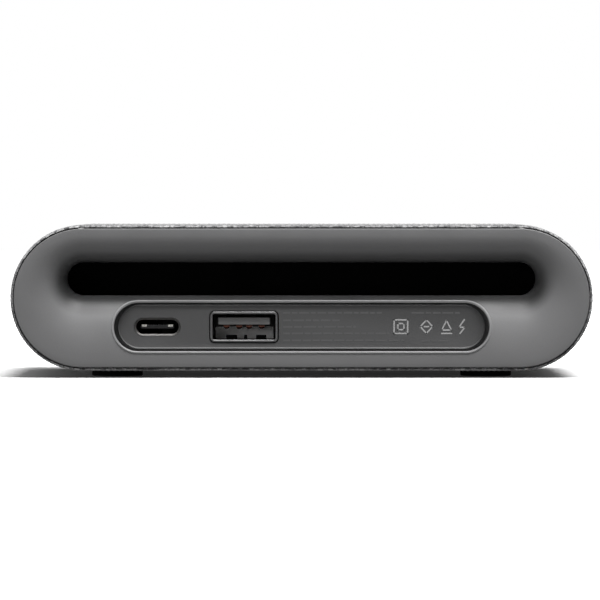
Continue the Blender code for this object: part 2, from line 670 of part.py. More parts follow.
def coil_leads():
    """The wires that run from the winding's two ends down to the board."""
    bottom = PARTS_LEVEL + WIRE_RADIUS
    bend_level = COIL_LEVEL - LEAD_BEND
    below_tray = CARRIER_TOP - LEAD_SAG
    inner = [
        (COIL_INNER, -2 * GAP, COIL_LEVEL),
        (COIL_INNER - 2.5 * MM, -3.0 * MM, COIL_LEVEL),
        (3.0 * MM, -2.2 * MM, COIL_LEVEL),
        (1.2 * MM, -1.5 * MM, bend_level),
        (1.0 * MM, -1.5 * MM, below_tray),
        (-2.0 * MM, -3.0 * MM, bottom + LEAD_RISE),
        (-6.0 * MM, -4.0 * MM, bottom),
    ]
    wire("coil_lead_inner", "coil_copper", inner, WIRE_RADIUS)
    outer_radius = COIL_INNER + COIL_PITCH * COIL_TURNS
    beside_tray = CARRIER_HALF_WIDTH + 2.0 * MM
    outer = [
        (outer_radius, 2 * GAP, COIL_LEVEL),
        (outer_radius + 3.0 * MM, 3.0 * MM, COIL_LEVEL),
        (beside_tray, 6.0 * MM, bend_level),
        (beside_tray + 1.0 * MM, 6.5 * MM, below_tray),
        (beside_tray, 6.0 * MM, bottom + LEAD_RISE),
        (beside_tray - 4.0 * MM, 5.0 * MM, bottom),
    ]
    wire("coil_lead_outer", "coil_copper", outer, WIRE_RADIUS)


def plate_with_hole(name, material_name, half_width, half_depth, top, thickness):
    """A level plate with the hole in its middle that the inner lead passes."""
    low = (-half_width, -half_depth, top - thickness)
    plate = block(name, material_name, low, (half_width, half_depth, top))
    hole = turned("hole", None, [(LEAD_HOLE, top - thickness - GAP), (LEAD_HOLE, top + GAP)])
    return combine(plate, hole, "DIFFERENCE")


def coil_stack():
    """The ferrite sheet, the aluminium plate and the tray that stands on the board."""
    ferrite_size = (FERRITE_HALF, FERRITE_HALF, FERRITE_TOP, FERRITE_THICKNESS)
    plate_with_hole("ferrite_shield", "ferrite", *ferrite_size)
    shield_size = (SHIELD_HALF, SHIELD_HALF, SHIELD_TOP, SHIELD_THICKNESS)
    plate_with_hole("shield_plate", "shield_aluminium", *shield_size)
    tray_size = (CARRIER_HALF_WIDTH, CARRIER_HALF_DEPTH, CARRIER_TOP, CARRIER_THICKNESS)
    tray = plate_with_hole("coil_carrier", "shell_plastic", *tray_size)
    leg_top = CARRIER_TOP - CARRIER_THICKNESS / 2
    ends = [(CARRIER_LEG_RADIUS, PARTS_LEVEL), (CARRIER_LEG_RADIUS, leg_top)]
    for place in CARRIER_LEG_PLACES:
        leg = turned("leg", None, ends, place, SMALL_ROUND_STEPS)
        combine(tray, leg, "UNION")


def temperature_sensor():
    """The bead that measures the top's temperature in the middle of the winding."""
    top = SHELL_INNER - GAP
    bottom = FERRITE_TOP + GAP
    shoulder = (top - bottom) / 3
    half = SENSOR_RADIUS / 2
    profile = [
        (half, top),
        (SENSOR_RADIUS, top - shoulder),
        (SENSOR_RADIUS, bottom + shoulder),
        (half, bottom),
    ]
    turned("temperature_sensor", "chip_plastic", profile, SENSOR_PLACE, SMALL_ROUND_STEPS)


# Status light

def status_light():
    """The window in the front bezel, the light behind it and its own small board and cable."""
    outline = pill(LENS_RADIUS, LENS_HALF_STRAIGHT, height=PORT_HEIGHT, steps=SMALL_ARC_STEPS)
    prism("status_lens", "lens_plastic", outline, BEZEL_BACK - GAP, LENS_FACE)
    led_low = (-LED_HALF_WIDTH, LED_BOARD_FACE + GAP, PORT_HEIGHT - LED_HALF_HEIGHT)
    led_high = (LED_HALF_WIDTH, BEZEL_BACK - 2 * GAP, PORT_HEIGHT + LED_HALF_HEIGHT)
    block("status_led", "lens_plastic", led_low, led_high)
    board_back = LED_BOARD_FACE - LED_BOARD_THICKNESS
    board_low = (-LED_BOARD_HALF_WIDTH, board_back, LED_BOARD_BOTTOM)
    block("led_board", "board_laminate", board_low, (LED_BOARD_HALF_WIDTH, LED_BOARD_FACE, LED_BOARD_TOP))
    start = board_back - GAP
    bend = start - CABLE_STRAIGHT
    end = BOARD_FRONT - CABLE_OVERLAP
    cable = [
        (start, CABLE_LEVEL + CABLE_THICKNESS),
        (bend, CABLE_LEVEL + CABLE_THICKNESS),
        (end, PARTS_LEVEL + CABLE_THICKNESS),
        (end, PARTS_LEVEL),
        (bend, CABLE_LEVEL),
        (start, CABLE_LEVEL),
    ]
    side_profile("led_cable", "cable_plastic", cable, CABLE_HALF_WIDTH, 0.0)


# Fasteners and feet

def housing_screws():
    """A screw up into each boss."""
    head_bottom = -SHELL_OUTER + SCREW_SUNK
    head_top = head_bottom + SCREW_HEAD_HEIGHT
    edge = SCREW_CHAMFER
    profile = [
        (SCREW_HEAD_RADIUS - edge, head_bottom),
        (SCREW_HEAD_RADIUS, head_bottom + edge),
        (SCREW_HEAD_RADIUS, head_top),
        (SCREW_RADIUS, head_top),
        (SCREW_RADIUS, SCREW_TIP - edge),
        (SCREW_RADIUS - edge, SCREW_TIP),
    ]
    for number, place in enumerate(CORNER_PLACES, 1):
        turned(f"housing_screw_{number}", "screw_steel", profile, place, SCREW_STEPS)


def feet():
    """A rubber foot over each screw, through its hole in the sleeve."""
    bottom = -BODY_RADIUS - FOOT_HEIGHT
    top = -SHELL_OUTER - GAP
    edge = FOOT_CHAMFER
    profile = [(FOOT_RADIUS, top), (FOOT_RADIUS, bottom + edge), (FOOT_RADIUS - edge, bottom)]
    for number, place in enumerate(CORNER_PLACES, 1):
        turned(f"foot_{number}", "foot_rubber", profile, place)


def clear_scene():
    for thing in list(bpy.data.objects):
        bpy.data.objects.remove(thing)


def main():
    clear_scene()
    fabric_sleeve()
    upper_shell()
    lower_shell()
    rear_bezel()
    front_bezel()
    slot_liner("rear_slot_liner", -1)
    slot_liner("front_slot_liner", 1)
    port_panel()
    usb_c_port()
    usb_a_port()
    main_board()
    board_parts()
    charging_coil()
    coil_leads()
    coil_stack()
    temperature_sensor()
    status_light()
    housing_screws()
    feet()


main()
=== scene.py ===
"""Looks for the wireless charging pad: fine meshes for what shows, and a material for every piece.

Everything is in metres in the pad's own frame: -Y is the rear end with the ports, +X is to the right
as seen from behind, and +Z is up.
"""
import json
import math
import random

import bmesh
import bpy
import numpy as np
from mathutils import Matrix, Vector


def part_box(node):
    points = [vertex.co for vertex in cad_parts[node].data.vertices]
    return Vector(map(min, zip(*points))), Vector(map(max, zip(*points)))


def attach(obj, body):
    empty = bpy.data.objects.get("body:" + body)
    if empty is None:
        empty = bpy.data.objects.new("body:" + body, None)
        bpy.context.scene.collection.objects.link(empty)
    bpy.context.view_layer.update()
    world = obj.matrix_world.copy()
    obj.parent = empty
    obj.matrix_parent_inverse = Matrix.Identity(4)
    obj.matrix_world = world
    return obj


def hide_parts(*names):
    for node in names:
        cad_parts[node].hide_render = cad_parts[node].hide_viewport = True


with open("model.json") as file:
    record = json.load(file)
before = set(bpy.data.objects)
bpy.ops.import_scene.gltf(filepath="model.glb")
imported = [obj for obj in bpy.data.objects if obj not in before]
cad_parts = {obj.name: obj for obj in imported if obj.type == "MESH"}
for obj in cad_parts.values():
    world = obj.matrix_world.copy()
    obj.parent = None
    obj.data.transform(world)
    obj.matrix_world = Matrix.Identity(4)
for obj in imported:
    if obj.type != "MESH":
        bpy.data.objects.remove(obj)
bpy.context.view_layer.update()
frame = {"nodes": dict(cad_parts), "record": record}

MM = 0.001

# Places and sizes read from the frame
SLEEVE_LOW, SLEEVE_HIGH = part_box("fabric_sleeve")
BODY_RADIUS = (SLEEVE_HIGH.z - SLEEVE_LOW.z) / 2
HALF_STRAIGHT = SLEEVE_HIGH.x - BODY_RADIUS
MIDDLE = (SLEEVE_LOW.z + SLEEVE_HIGH.z) / 2
BEZEL_LOW, BEZEL_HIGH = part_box("rear_bezel")
BEZEL_RADIUS = (BEZEL_HIGH.z - BEZEL_LOW.z) / 2
HALF_DEPTH = -BEZEL_LOW.y
BEZEL_BACK = -BEZEL_HIGH.y
LINER_LOW, LINER_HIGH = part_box("rear_slot_liner")
SLOT_HEIGHT = (LINER_LOW.z + LINER_HIGH.z) / 2 - MIDDLE
PANEL_LOW, PANEL_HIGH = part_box("port_panel")
PANEL_RADIUS = (PANEL_HIGH.z - PANEL_LOW.z) / 2
PANEL_HALF_STRAIGHT = PANEL_HIGH.x - PANEL_RADIUS
PORT_HEIGHT = (PANEL_LOW.z + PANEL_HIGH.z) / 2 - MIDDLE

# The bezels' section
LINER_WALL = 1.2 * MM
SLOT_RADIUS = (LINER_HIGH.z - LINER_LOW.z) / 2 - LINER_WALL
RIM_WIDTH = 1.3 * MM
RIM_EDGE = 0.18 * MM
ROLL_OUTER = BEZEL_RADIUS - RIM_WIDTH
ROLL_DEPTH = 6.0 * MM
FLANGE = 1.8 * MM
SPIGOT_INSET = 2.05 * MM
POCKET_GAP = 0.42 * MM
POCKET_END_GAP = 0.35 * MM
POCKET_RADIUS = PANEL_RADIUS + POCKET_GAP
POCKET_HALF_STRAIGHT = PANEL_HALF_STRAIGHT + POCKET_END_GAP
BEAD_RADIUS = 0.3 * MM  # of the raised bead round the pocket
BEAD_OFFSET = 0.24 * MM  # from the pocket's edge to the middle of the bead
BEAD_SUNK = 0.15 * MM
POCKET_FLOOR_GAP = 0.3 * MM
CUT_PAST = 1.0 * MM  # how far a cutting shape runs past the surface it cuts through

# The port panel's section
PANEL_EDGE = 0.06 * MM  # the chamfer outside its lip
PANEL_LIP = 0.1 * MM  # from the panel's side to the inner edge of the flat on its lip
PANEL_SLOPE = 0.28 * MM  # from there to its face
PANEL_RISE = 0.3 * MM  # from its face up to its lip
PANEL_FACE = PANEL_LOW.y + PANEL_RISE

# Painted shadow round the slot, as pairs: a share of its reach, and the share of the plain colour kept there
PAINTED_SHADOW_REACH = 4.5 * MM
PAINTED_SHADOW_ABOVE = ((0.0, 0.30), (0.15, 0.48), (0.28, 0.50), (0.41, 0.65), (0.55, 0.85), (0.68, 0.93), (0.9, 1.0))
PAINTED_SHADOW_BELOW = (
    (0.0, 0.75), (0.08, 0.4), (0.18, 0.17), (0.33, 0.1), (0.5, 0.26), (0.65, 0.55), (0.8, 0.82), (0.95, 1.0),
)
PAINTED_SHADOW_TURN = 0.4  # the rise, as a share of the distance, from which the painted shadow above holds alone

# Marks printed on the panel
INK_HEIGHT = 0.02 * MM
ROW_WIDTH = 0.35 * MM
DASH_LEAST, DASH_MOST = 0.5 * MM, 2.2 * MM
ROW_START = -3.5 * MM
ROWS = (  # (height, start, end)
    (-3.0 * MM, ROW_START, 16.1 * MM),
    (-4.5 * MM, ROW_START, 7.4 * MM),
    (-5.8 * MM, ROW_START, 10.7 * MM),
    (-7.1 * MM, ROW_START, 17.3 * MM),
    (-8.5 * MM, ROW_START, 20.3 * MM),
    (-3.0 * MM, 22.1 * MM, 31.4 * MM),
    (-8.6 * MM, 24.1 * MM, 29.2 * MM),
)
SIGN_PLACES = (19.8 * MM, 24.9 * MM, 28.9 * MM, 32.0 * MM)
SIGN_HEIGHT = -5.75 * MM
SIGN_HALF = 1.35 * MM
SIGN_LINE = 0.28 * MM

# Ports
PORT_CLEARANCE = 0.2 * MM
USB_C_WALL = 0.2 * MM
USB_C_FLARE = 0.14 * MM  # how far the shell's mouth spreads outward
USB_C_FUNNEL = 0.3 * MM  # the depth over which it does
USB_C_PLATE_HALF = 0.35 * MM
USB_C_PLATE_EDGE = 0.1 * MM
USB_C_CONTACTS = 8
USB_C_PITCH = 0.5 * MM
USB_C_CONTACT = (0.1 * MM, 0.08 * MM, 0.03 * MM)  # half its width, half its height and its corners' radius
USB_C_CONTACT_RISE = 0.33 * MM  # from the tongue's middle height
USB_C_CONTACT_START = -0.03 * MM  # behind the tongue's tip, so this is in front of it
USB_C_CONTACT_END = 3.0 * MM
GUARD = (0.5 * MM, 0.2 * MM, 0.08 * MM)
GUARD_ACROSS = 2.6 * MM  # from the tongue's middle
GUARD_RISE = 0.25 * MM
GUARD_START = -0.08 * MM
GUARD_END = 2.0 * MM
USB_A_WALL = 0.5 * MM
USB_A_LIP = 0.18 * MM  # the radius round the shell's mouth
USB_A_CORNER = 0.9 * MM
TONGUE_DROP = 0.68 * MM  # from the shell's ceiling to the tongue
TONGUE_THICKNESS = 1.45 * MM
TONGUE_EDGE = 0.12 * MM
BLOCK_DEPTH = 3.6 * MM  # of the insulator at the tongue's root
BACK_WALL = 1.0 * MM
BLOCK_PAST = 0.9 * MM  # how far the insulator reaches past each side of the tongue
WALL_PAST = 0.6 * MM  # how far the wall in front of it, painted pale as light, does
WALL_DROP = 0.55 * MM  # from the tongue down to the wall below it, painted pale as light
ROUND_PORT = 0.05 * MM  # the room round the insulator inside the shell
UPPER_SPRINGS = ((-3.6 * MM, -2.0 * MM), (2.4 * MM, 4.0 * MM))  # (left, right) from the shell's middle
LOWER_SPRINGS = ((-3.6 * MM, -1.4 * MM), (0.0, 0.6 * MM), (2.4 * MM, 4.4 * MM))
SPRING_START = 0.6 * MM  # behind the tongue's tip
SPRING_LENGTH = 4.4 * MM
SPRING_HEIGHT = 0.95 * MM

# The sleeve's cloth
THREADS_ROUND = 252
THREADS_ALONG = 68
SAMPLES = 3  # points across one thread
THREAD_HEIGHT = 0.17 * MM
THREAD_SUNK = 0.6  # the share of a thread's height that lies under the sleeve's mean surface
FADE_THREADS = 1.5  # the threads over which the relief fades towards each end
FADE_LEAST = 0.25
EDGE_RUN = 1.35 * MM  # the stretch over which each end curves in
EDGE_DROP = 0.5 * MM
EDGE_PAST = 0.1 * MM  # how far each end reaches past the CAD sleeve
TUCK = 0.5 * MM
TUCK_STEPS = 3
TUCK_LEAN = 0.05 * MM
FOOT_HOLE_GAP = 0.35 * MM

# Surface finishes
BLAST_GRAIN = 0.16 * MM
BLAST_DEPTH = 0.012 * MM
PRINT_DEPTH = 0.004 * MM
DRAWN = (3000, 300, 3000)  # noise scale per metre for scratches along Y
NOISE_LOW, NOISE_HIGH = 0.3, 0.7  # the range that most of a noise texture lies in


# Mesh helpers

def arc(radius, start, end, steps):
    """Points on a circle about the origin, from the start angle to the end angle."""
    angles = [start + (end - start) * step / steps for step in range(steps + 1)]
    return [(radius * math.cos(angle), radius * math.sin(angle)) for angle in angles]


def pill(radius, half_straight, across=0.0, height=0.0, arc_steps=48, straight_steps=1):
    """Points (x, z) round a pill, anticlockwise as seen from the rear."""
    points = []
    for side in (1, -1):
        start = -side * math.pi / 2
        for x, z in arc(radius, start, start + math.pi, arc_steps):
            points.append((x + side * half_straight, z))
        for step in range(1, straight_steps):
            x = side * half_straight * (1 - 2 * step / straight_steps)
            points.append((x, side * radius))
    return [(x + across, z + height) for x, z in points]


def rounded_box(half_width, half_height, corner, across=0.0, height=0.0, steps=6):
    """Points (x, z) round a rectangle with rounded corners."""
    points = []
    for quarter, (side, rise) in enumerate(((1, 1), (-1, 1), (-1, -1), (1, -1))):
        turn = quarter * math.pi / 2
        for x, z in arc(corner, turn, turn + math.pi / 2, steps):
            points.append((x + side * (half_width - corner), z + rise * (half_height - corner)))
    return [(x + across, z + height) for x, z in points]


def at_depth(outline, y):
    """The outline in the plane at y, about the body's middle height."""
    return [Vector((x, y, z + MIDDLE)) for x, z in outline]


def skin(rings, closed=False, bm=None):
    """A surface through rings of points, joined end to end when closed and capped when not."""
    if bm is None:
        bm = bmesh.new()
    loops = [[bm.verts.new(point) for point in ring] for ring in rings]
    pairs = list(zip(loops, loops[1:]))
    if closed:
        pairs.append((loops[-1], loops[0]))
    else:
        bm.faces.new(loops[0])
        bm.faces.new(loops[-1])
    for near, far in pairs:
        for here, there in zip(range(-1, len(near) - 1), range(len(near))):
            bm.faces.new((near[here], near[there], far[there], far[here]))
    bmesh.ops.recalc_face_normals(bm, faces=bm.faces)
    return bm


def shown(name, bm, sharp=35):
    """An object from the given skin, shaded smooth but for its sharp edges."""
    mesh = bpy.data.meshes.new(name)
    bm.to_mesh(mesh)
    bm.free()
    made = bpy.data.objects.new(name, mesh)
    bpy.context.scene.collection.objects.link(made)
    mesh.shade_smooth()
    mesh.set_sharp_from_angle(angle=math.radians(sharp))
    return made


def cut(target, tool, sharp=35):
    """Cuts the tool out of the target and removes the tool."""
    change = target.modifiers.new("change", "BOOLEAN")
    change.operation = "DIFFERENCE"
    change.object = tool
    change.solver = "EXACT"
    bpy.context.view_layer.update()
    before = target.data
    shaped = target.evaluated_get(bpy.context.evaluated_depsgraph_get())
    target.data = bpy.data.meshes.new_from_object(shaped)
    target.modifiers.clear()
    bpy.data.meshes.remove(before)
    bpy.data.objects.remove(tool)
    target.data.shade_smooth()
    target.data.set_sharp_from_angle(angle=math.radians(sharp))


def prism(name, outline, near, far):
    """A straight solid with the given outline between two depths."""
    return shown(name, skin([at_depth(outline, near), at_depth(outline, far)]))


def place(piece, material, record_slot, *nodes):
    """Gives a piece its material and puts it on the pad in place of its CAD nodes."""
    piece.data.materials.clear()
    piece.data.materials.append(material)
    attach(piece, "root")
    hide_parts(*nodes)


# Material helpers

def new_material(name, colour, roughness, metallic=0.0):
    """(material, node tree, shader) with the given plain values."""
    made = bpy.data.materials.new(name)
    made.use_nodes = True
    shader = made.node_tree.nodes["Principled BSDF"]
    shader.inputs["Base Color"].default_value = (*colour, 1.0)
    shader.inputs["Roughness"].default_value = roughness
    shader.inputs["Metallic"].default_value = metallic
    return made, made.node_tree, shader


def node(tree, kind, inputs=(), **settings):
    """A node with its settings and its inputs, which are values or other nodes' outputs."""
    made = tree.nodes.new(kind)
    for name, value in settings.items():
        setattr(made, name, value)
    for key, value in dict(inputs).items():
        if isinstance(value, bpy.types.NodeSocket):
            tree.links.new(value, made.inputs[key])
        else:
            made.inputs[key].default_value = value
    return made


def object_place(tree):
    return node(tree, "ShaderNodeTexCoord").outputs["Object"]


def noise(tree, vector, size, detail):
    """Noise with features of about the given size in metres."""
    inputs = {"Vector": vector, "Scale": 1 / size, "Detail": detail}
    return node(tree, "ShaderNodeTexNoise", inputs).outputs["Fac"]


def math_node(tree, operation, first, second=0.0):
    return node(tree, "ShaderNodeMath", {0: first, 1: second}, operation=operation).outputs[0]


def blend(tree, first, second, share):
    """A sum of the first value, by the given share, and the second, by the rest."""
    part = math_node(tree, "MULTIPLY", first, share)
    rest = math_node(tree, "MULTIPLY", second, 1 - share)
    return math_node(tree, "ADD", part, rest)


def combined(tree, x=0.0, y=0.0, z=0.0):
    return node(tree, "ShaderNodeCombineXYZ", {"X": x, "Y": y, "Z": z}).outputs["Vector"]


def length_of(tree, vector):
    return node(tree, "ShaderNodeVectorMath", {0: vector}, operation="LENGTH").outputs["Value"]


def ramp(tree, factor, *stops, interpolation="LINEAR"):
    """A colour ramp through (position, grey or colour) stops."""
    made = node(tree, "ShaderNodeValToRGB", {"Fac": factor})
    made.color_ramp.interpolation = interpolation
    elements = made.color_ramp.elements
    while len(elements) < len(stops):
        elements.new(0.5)
    for element, (position, colour) in zip(elements, stops):
        element.position = position
        shade = (colour,) * 3 if isinstance(colour, float) else colour
        element.color = (*shade, 1.0)
    return made.outputs["Color"]


def bump(tree, height, distance):
    """A surface direction for relief of the given depth in metres."""
    return node(tree, "ShaderNodeBump", {"Height": height, "Distance": distance}).outputs["Normal"]


def shades(colour, low, high):
    """Two darker and lighter versions of a colour."""
    return tuple(channel * low for channel in colour), tuple(channel * high for channel in colour)


def grained(name, colour, roughness, grain, depth, spread=0.08, specular=0.5):
    """A moulded or cast surface: fine grain in relief, and slow changes of shade and gloss."""
    made, tree, shader = new_material(name, colour, roughness)
    shader.inputs["Specular IOR Level"].default_value = specular
    spot = object_place(tree)
    fine = noise(tree, spot, grain, 2.0)
    slow = noise(tree, spot, 9 * MM, 3.0)
    mixed = blend(tree, fine, slow, 0.6)
    dark, light = shades(colour, 1 - spread, 1 + spread)
    shade = ramp(tree, mixed, (NOISE_LOW, dark), (NOISE_HIGH, light))
    tree.links.new(shade, shader.inputs["Base Color"])
    low, high = max(roughness - 0.08, 0.02), min(roughness + 0.08, 1.0)
    gloss = ramp(tree, slow, (NOISE_LOW, low), (NOISE_HIGH, high))
    tree.links.new(gloss, shader.inputs["Roughness"])
    tree.links.new(bump(tree, fine, depth), shader.inputs["Normal"])
    return made


def painted_slot_shadow(tree):
    """Painted shadow round the slot: the share of the plain colour kept at each place, by its distance and
    direction from the slot's edge.
    """
    parts = node(tree, "ShaderNodeSeparateXYZ", {"Vector": object_place(tree)})
    past_end = math_node(tree, "SUBTRACT", math_node(tree, "ABSOLUTE", parts.outputs["X"]), HALF_STRAIGHT)
    across = math_node(tree, "MAXIMUM", past_end, 0.0)
    height = math_node(tree, "SUBTRACT", parts.outputs["Z"], MIDDLE + SLOT_HEIGHT)
    length = length_of(tree, combined(tree, across, height))
    away = math_node(tree, "DIVIDE", math_node(tree, "SUBTRACT", length, SLOT_RADIUS), PAINTED_SHADOW_REACH)
    above = ramp(tree, away, *PAINTED_SHADOW_ABOVE, interpolation="CARDINAL")
    below = ramp(tree, away, *PAINTED_SHADOW_BELOW, interpolation="CARDINAL")
    rise = math_node(tree, "DIVIDE", height, length)
    turn = node(tree, "ShaderNodeMapRange", {"Value": rise, "From Min": -1.0, "From Max": PAINTED_SHADOW_TURN})
    return node(tree, "ShaderNodeMix", {0: turn.outputs["Result"], 2: below, 3: above}).outputs[0]


def case_plastic():
    """The bezels' blasted plastic, with painted shadow darkening it towards the slot."""
    colour = (0.155, 0.155, 0.157)
    made = grained("case_plastic_blasted_painted_shadow", colour, 0.5, BLAST_GRAIN, BLAST_DEPTH, spread=0.06)
    tree = made.node_tree
    base = tree.nodes["Principled BSDF"].inputs["Base Color"]
    plain = base.links[0].from_socket
    # Painted shadow: the plain colour is darkened towards the slot, more below it than above
    darker = node(tree, "ShaderNodeVectorMath", {0: plain, "Scale": painted_slot_shadow(tree)}, operation="SCALE")
    tree.links.new(darker.outputs["Vector"], base)
    return made


def brushed(name, colour, roughness, stretch, depth):
    """A metal with fine parallel scratches; stretch is the noise's scale along X, Y and Z, per metre."""
    made, tree, shader = new_material(name, colour, roughness, 1.0)
    spot = object_place(tree)
    stretched = node(tree, "ShaderNodeMapping", {"Vector": spot, "Scale": stretch}).outputs["Vector"]
    lines = noise(tree, stretched, 1.0, 3.0)
    dark, light = shades(colour, 0.85, 1.1)
    shade = ramp(tree, lines, (NOISE_LOW, dark), (NOISE_HIGH, light))
    tree.links.new(shade, shader.inputs["Base Color"])
    gloss = ramp(tree, lines, (NOISE_LOW, roughness * 0.8), (NOISE_HIGH, roughness * 1.25))
    tree.links.new(gloss, shader.inputs["Roughness"])
    tree.links.new(bump(tree, lines, depth), shader.inputs["Normal"])
    return made


def cloth_material():
    """Heathered yarn, streaked with light and dark fibres, whose shade changes along each thread; painted
    shade darkens the crevices between threads and a painted highlight lightens their tops.
    """
    made, tree, shader = new_material("heather_cloth", (0.36, 0.36, 0.37), 0.92)
    shader.inputs["Sheen Weight"].default_value = 0.25
    shader.inputs["Sheen Roughness"].default_value = 0.5
    shader.inputs["Specular IOR Level"].default_value = 0.2
    thread = node(tree, "ShaderNodeAttribute", attribute_name="thread").outputs["Vector"]
    parts = node(tree, "ShaderNodeSeparateXYZ", {"Vector": thread})
    across_warp, across_weft = parts.outputs["X"], parts.outputs["Y"]
    warp_number = math_node(tree, "FLOOR", across_warp)
    weft_number = math_node(tree, "FLOOR", across_weft)
    parity = math_node(tree, "MODULO", math_node(tree, "ADD", warp_number, weft_number), 2.0)

    def on_top(of_weft, of_warp):
        """Whichever belongs to the thread that lies on top here."""
        return node(tree, "ShaderNodeMix", {0: parity, 2: of_weft, 3: of_warp}).outputs[0]

    def streaks(across, along, salt, fine, coarse):
        """Noise that changes quickly across the threads and slowly along them."""
        quick = math_node(tree, "MULTIPLY", across, fine)
        slow = math_node(tree, "MULTIPLY", along, coarse)
        return noise(tree, combined(tree, quick, slow, salt), 1.0, 2.0)

    def crown(count):
        """Rises from 0 at a thread's sides to 1 along its middle."""
        return math_node(tree, "SINE", math_node(tree, "MULTIPLY", math_node(tree, "FRACT", count), math.pi))

    across = on_top(across_weft, across_warp)
    along = on_top(across_warp, across_weft)
    number = on_top(weft_number, warp_number)
    dye = streaks(number, along, salt=1.7, fine=7.31, coarse=0.24)
    fibres = streaks(across, along, salt=9.2, fine=3.3, coarse=1.1)
    black, dark = (0.05, 0.05, 0.052), (0.13, 0.13, 0.133)
    mid, pale = (0.27, 0.27, 0.272), (0.42, 0.42, 0.42)
    dyed = ramp(tree, blend(tree, dye, fibres, 0.5), (0.38, black), (0.46, dark), (0.53, mid), (0.62, pale))
    # Painted shade: darker towards each thread's sides and ends, where the crevices between threads lie, and
    # a little lighter along its top as a painted highlight
    lengthwise = ramp(tree, crown(along), (0.0, 0.8), (0.5, 1.0))
    crevice_shade_mask = math_node(tree, "MULTIPLY", crown(across), lengthwise)
    depth = ramp(tree, crevice_shade_mask, (0.0, 0.35), (0.5, 0.9), (0.95, 1.1))
    colour = node(tree, "ShaderNodeVectorMath", {0: dyed, 1: depth}, operation="MULTIPLY")
    tree.links.new(colour.outputs["Vector"], shader.inputs["Base Color"])
    tree.links.new(bump(tree, fibres, 0.06 * MM), shader.inputs["Normal"])
    return made


# Sleeve

def weave_height(round_place, along_place):
    """Relief of a plain weave, from 0 between threads to 1 on top of one; places count threads."""
    across = np.cos(math.pi * (round_place - np.floor(round_place) - 0.5))
    along = np.cos(math.pi * (along_place - np.floor(along_place) - 0.5))
    over = (np.floor(round_place) + np.floor(along_place)) % 2
    fullness = 0.7  # below 1, which makes a thread's section fuller than a cosine
    dip = 0.3  # a thread's height where it goes under another, as a share of its height on top
    warp = across ** fullness * (dip + (1 - dip) * along)
    weft = along ** fullness * (dip + (1 - dip) * across)
    return np.where(over > 0.5, warp, weft)


def round_body(share):
    """(x of the pill's core, outward normal x, outward normal z) at a share of the way round."""
    quarter = math.pi / 2 * BODY_RADIUS
    straight = 2 * HALF_STRAIGHT
    run = share * (4 * quarter + 2 * straight)
    corners = np.cumsum([quarter, straight, 2 * quarter, straight, quarter])
    quarters = np.array([0, 1, 1, 3, 3, 4])
    sides = np.array([1, 1, -1, -1, 1, 1])
    turned = np.interp(run, [0, *corners], quarters * math.pi / 2)
    core = np.interp(run, [0, *corners], sides * HALF_STRAIGHT)
    return core, np.cos(turned), np.sin(turned)


def sleeve_profile(share):
    """(radius, y, lean of the normal towards the end) at a share of the way along the sleeve."""
    end = SLEEVE_HIGH.y + EDGE_PAST
    flat = end - EDGE_RUN
    curve_length = math.hypot(EDGE_RUN, EDGE_DROP) * 1.03  # a shallow curve is a little longer than its chord
    half_length = flat + curve_length
    run = (share * 2 - 1) * half_length
    turn = np.clip((np.abs(run) - flat) / curve_length, 0, 1) * math.pi / 2
    radius = BODY_RADIUS - EDGE_DROP * (1 - np.cos(turn))
    y = np.sign(run) * (np.minimum(np.abs(run), flat) + EDGE_RUN * np.sin(turn))
    lean = np.arctan2(EDGE_DROP * np.sin(turn), EDGE_RUN * np.cos(turn)) * np.sign(run)
    return radius, y, lean


def sleeve_half(name, first_thread, threads):
    """Half of the cloth round the body, with its weave in relief and its ends tucked in."""
    columns = threads * SAMPLES + 1
    rows = THREADS_ALONG * SAMPLES + 1
    round_place = first_thread + (np.arange(columns) + 0.5) / SAMPLES
    along_place = np.arange(rows) / SAMPLES
    grid_round, grid_along = np.meshgrid(round_place, along_place)
    core, normal_x, normal_z = round_body((grid_round / THREADS_ROUND) % 1.0)
    radius, y, lean = sleeve_profile(grid_along / THREADS_ALONG)
    inside = np.clip(np.minimum(grid_along, THREADS_ALONG - grid_along) / FADE_THREADS, FADE_LEAST, 1)
    last_thread = np.clip(grid_along, 0, THREADS_ALONG - 1e-6)
    relief = THREAD_HEIGHT * (weave_height(grid_round, last_thread) - THREAD_SUNK) * inside
    spread = radius + relief * np.cos(lean)
    lifted_y = y + relief * np.sin(lean)
    points = np.stack([core + normal_x * spread, lifted_y, MIDDLE + normal_z * spread], axis=-1)
    tucks = []
    for row, side in ((0, -1), (-1, 1)):
        ring = []
        for step in range(1, TUCK_STEPS + 1):
            share = step / TUCK_STEPS
            inward = BODY_RADIUS - EDGE_DROP - TUCK_LEAN * share
            back = side * (SLEEVE_HIGH.y + EDGE_PAST - TUCK * share)
            x = core[row] + normal_x[row] * inward
            z = MIDDLE + normal_z[row] * inward
            ring.append(np.stack([x, np.full_like(x, back), z], axis=-1))
        tucks.append(np.array(ring))
    points = np.concatenate([tucks[0][::-1], points, tucks[1]])
    threads_at = np.stack([grid_round, grid_along, 0 * grid_round], axis=-1)
    threads_at = np.concatenate([threads_at[:1]] * TUCK_STEPS + [threads_at] + [threads_at[-1:]] * TUCK_STEPS)
    return grid_object(name, points, threads_at)


